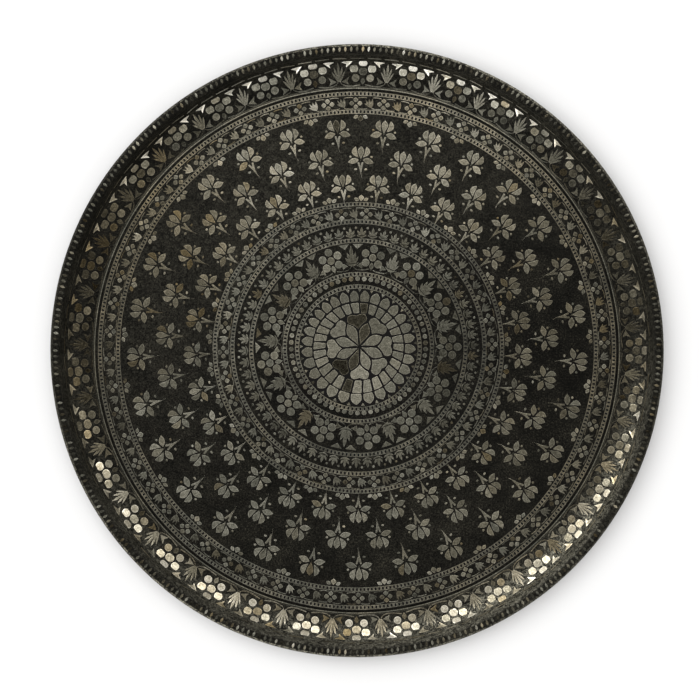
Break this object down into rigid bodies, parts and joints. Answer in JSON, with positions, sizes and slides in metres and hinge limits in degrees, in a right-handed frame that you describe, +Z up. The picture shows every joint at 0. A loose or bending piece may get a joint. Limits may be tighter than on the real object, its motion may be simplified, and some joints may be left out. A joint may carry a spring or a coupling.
{
  "type": "inlaid tray",
  "caption": "Shallow round tray of blackened cast metal with a coved wall and a round lip, inlaid all over with sheet-silver flowers, leaves and pierced strips.",
  "frame": {"origin": "middle of the underside, on the tray's axis", "axes": "+Z up out of the well along the tray's axis; +Y towards the top of the picture, +X to its right"},
  "size_m": [0.3, 0.3, 0.0167],
  "materials": {
    "blackened_alloy": "matt black",
    "silver_sheet": "worn satin",
    "silver_strip": "worn satin",
    "silver_wire": "worn satin"
  },
  "bodies": {
    "root": {"tray_body": "blackened_alloy", "centre_petals": "silver_sheet", "centre_lobes": "silver_sheet", "centre_staves": "silver_sheet", "centre_tongues": "silver_sheet", "centre_spandrels": "silver_sheet", "dot_ring": "silver_sheet", "medallion_flowers": "silver_sheet", "medallion_buds": "silver_sheet", "medallion_leaves": "silver_sheet", "medallion_corners": "silver_sheet", "medallion_side_buds": "silver_sheet", "medallion_vine": "silver_wire", "small_leaves": "silver_sheet", "small_leaf_dots": "silver_sheet", "inner_border_flowers": "silver_sheet", "inner_border_leaves": "silver_sheet", "inner_border_vine": "silver_wire", "inner_fans": "silver_sheet", "row_1_petals": "silver_sheet", "row_1_stems": "silver_sheet", "row_1_dots": "silver_sheet", "row_2_petals": "silver_sheet", "row_2_stems": "silver_sheet", "row_2_dots": "silver_sheet", "row_3_petals": "silver_sheet", "row_3_stems": "silver_sheet", "row_3_dots": "silver_sheet", "outer_fans": "silver_sheet", "outer_border_flowers": "silver_sheet", "outer_border_leaves": "silver_sheet", "outer_border_vine": "silver_wire", "floor_edge_wire": "silver_strip", "wall_foot_wire": "silver_strip", "wall_vine": "silver_wire", "pierced_strip_1": "silver_strip", "pierced_strip_2": "silver_strip", "pierced_strip_3": "silver_strip", "pierced_strip_4": "silver_strip", "pierced_strip_5": "silver_strip", "pierced_strip_6": "silver_strip", "pierced_strip_7": "silver_strip", "wall_flowers": "silver_sheet", "wall_buds": "silver_sheet", "wall_leaves": "silver_sheet", "wall_corners": "silver_sheet", "wall_side_buds": "silver_sheet", "rim_bars": "silver_sheet"}
  },
  "joints": []
}
